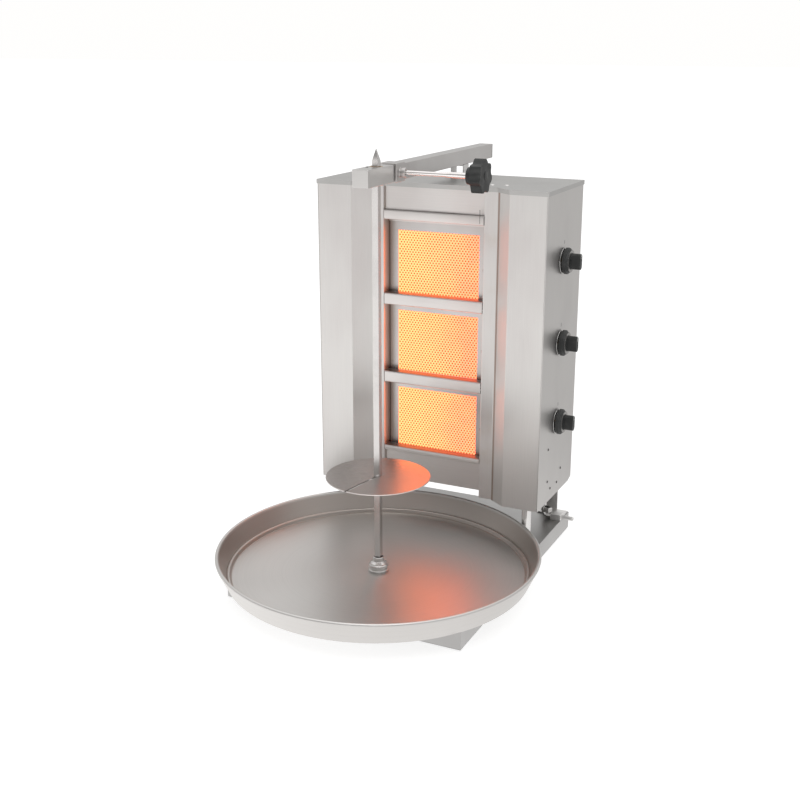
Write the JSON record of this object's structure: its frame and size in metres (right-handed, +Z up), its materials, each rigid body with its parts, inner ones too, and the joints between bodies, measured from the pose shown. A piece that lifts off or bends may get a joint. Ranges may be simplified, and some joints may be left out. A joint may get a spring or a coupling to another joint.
{
  "type": "gas rotisserie oven",
  "caption": "Vertical spit grill: gas burners in a steel cabinet face a turning spit that stands in a round drip tray, held at the top by a telescopic arm.",
  "frame": {"origin": "middle of the object's box, at the level of its feet", "axes": "+Z up, +X the side with the gas knobs, -Y the cook's side with the tray"},
  "size_m": [0.642, 0.851, 0.865],
  "materials": {
    "cabinet_steel": "satin stainless sheet, fine vertical grain",
    "base_steel": "satin stainless sheet and plate",
    "tray_steel": "spun stainless sheet, fine rings",
    "polished_steel": "polished stainless bar and tube",
    "black_plastic": "black moulded thermoset, satin",
    "foot_rubber": "matt black rubber",
    "glowing_ceramic": "perforated refractory plaque, glowing",
    "valve_brass": "machined brass",
    "bush_bronze": "plain bronze bush",
    "motor_paint": "dark enamel",
    "gear_nylon": "natural nylon"
  },
  "bodies": {
    "frame": {"side_panel_left": "cabinet_steel", "side_panel_right": "cabinet_steel", "wing_left": "cabinet_steel", "wing_right": "cabinet_steel", "top_cover": "cabinet_steel", "rear_cover": "cabinet_steel", "cabinet_floor": "cabinet_steel", "centre_top_panel": "cabinet_steel", "centre_bottom_panel": "cabinet_steel", "burner_rail_upper": "cabinet_steel", "burner_rail_lower": "cabinet_steel", "burner_frame_bottom": "cabinet_steel", "burner_frame_middle": "cabinet_steel", "burner_frame_top": "cabinet_steel", "arm_tube": "cabinet_steel", "base_deck": "base_steel", "base_bottom_cover": "base_steel", "rear_leg_left": "base_steel", "rear_leg_right": "base_steel", "burner_plenum_bottom": "base_steel", "burner_plenum_middle": "base_steel", "burner_plenum_top": "base_steel", "arm_bracket": "base_steel", "gas_inlet_fitting": "base_steel", "front_post_left": "polished_steel", "front_post_right": "polished_steel", "gas_supply_pipe": "polished_steel", "foot_front_left": "foot_rubber", "foot_front_right": "foot_rubber", "foot_rear_left": "foot_rubber", "foot_rear_right": "foot_rubber", "burner_plaque_bottom": "glowing_ceramic", "burner_plaque_middle": "glowing_ceramic", "burner_plaque_top": "glowing_ceramic", "gas_valve_bottom": "valve_brass", "gas_valve_middle": "valve_brass", "gas_valve_top": "valve_brass"},
    "carriage": {"carriage_plate": "base_steel", "gear_case": "base_steel", "gear_motor": "motor_paint", "shaft_bearing": "bush_bronze", "drip_tray": "tray_steel"},
    "drive": {"drive_socket": "polished_steel", "output_gear": "gear_nylon"},
    "pinion": {"motor_pinion": "gear_nylon"},
    "spit": {"spit_rod": "polished_steel", "spit_drip_cap": "polished_steel"},
    "disc": {"meat_disc": "tray_steel", "disc_hub": "polished_steel"},
    "holder": {"holder_rail": "base_steel", "holder_block": "cabinet_steel", "spit_bush": "bush_bronze"},
    "clamp": {"clamp_screw": "polished_steel", "clamp_knob": "black_plastic"},
    "valve_push_bottom": {"valve_stem_bottom": "valve_brass"},
    "gas_knob_bottom": {"gas_knob_bottom": "black_plastic"},
    "valve_push_middle": {"valve_stem_middle": "valve_brass"},
    "gas_knob_middle": {"gas_knob_middle": "black_plastic"},
    "valve_push_top": {"valve_stem_top": "valve_brass"},
    "gas_knob_top": {"gas_knob_top": "black_plastic"}
  },
  "joints": [
    {"name": "carriage_slide", "type": "slide", "parent": "frame", "child": "carriage", "axis": [0, -1, 0], "range_m": [0, 0.05]},
    {"name": "holder_slide", "type": "slide", "parent": "frame", "child": "holder", "axis": [0, -1, 0], "range_m": [0, 0.05]},
    {"name": "spit_spin", "type": "hinge", "parent": "carriage", "child": "drive", "pos_m": [0, -0.1045, 0.0086], "axis": [0, 0, 1], "continuous": true},
    {"name": "pinion_spin", "type": "hinge", "parent": "carriage", "child": "pinion", "pos_m": [0, -0.0565, 0.0086], "axis": [0, 0, 1], "continuous": true},
    {"name": "spit_lift", "type": "slide", "parent": "drive", "child": "spit", "axis": [0, 0, 1], "range_m": [0, 0.035]},
    {"name": "disc_height", "type": "slide", "parent": "spit", "child": "disc", "axis": [0, 0, 1], "range_m": [-0.14, 0.45]},
    {"name": "clamp_turn", "type": "hinge", "parent": "frame", "child": "clamp", "pos_m": [0.0175, -0.039, 0.8165], "axis": [1, 0, 0], "range_deg": [0, 540]},
    {"name": "valve_push_bottom", "type": "slide", "parent": "frame", "child": "valve_push_bottom", "axis": [-1, 0, 0], "range_m": [0, 0.003], "stiffness_N_per_m": 700},
    {"name": "knob_turn_bottom", "type": "hinge", "parent": "valve_push_bottom", "child": "gas_knob_bottom", "pos_m": [0.25, 0.2305, 0.288], "axis": [1, 0, 0], "range_deg": [0, 180]},
    {"name": "valve_push_middle", "type": "slide", "parent": "frame", "child": "valve_push_middle", "axis": [-1, 0, 0], "range_m": [0, 0.003], "stiffness_N_per_m": 700},
    {"name": "knob_turn_middle", "type": "hinge", "parent": "valve_push_middle", "child": "gas_knob_middle", "pos_m": [0.25, 0.2305, 0.457], "axis": [1, 0, 0], "range_deg": [0, 180]},
    {"name": "valve_push_top", "type": "slide", "parent": "frame", "child": "valve_push_top", "axis": [-1, 0, 0], "range_m": [0, 0.003], "stiffness_N_per_m": 700},
    {"name": "knob_turn_top", "type": "hinge", "parent": "valve_push_top", "child": "gas_knob_top", "pos_m": [0.25, 0.2305, 0.626], "axis": [1, 0, 0], "range_deg": [0, 180]}
  ],
  "couplings": [
    {"joint": "holder_slide", "follows": "carriage_slide", "ratio": 1},
    {"joint": "pinion_spin", "follows": "spit_spin", "ratio": -3}
  ]
}
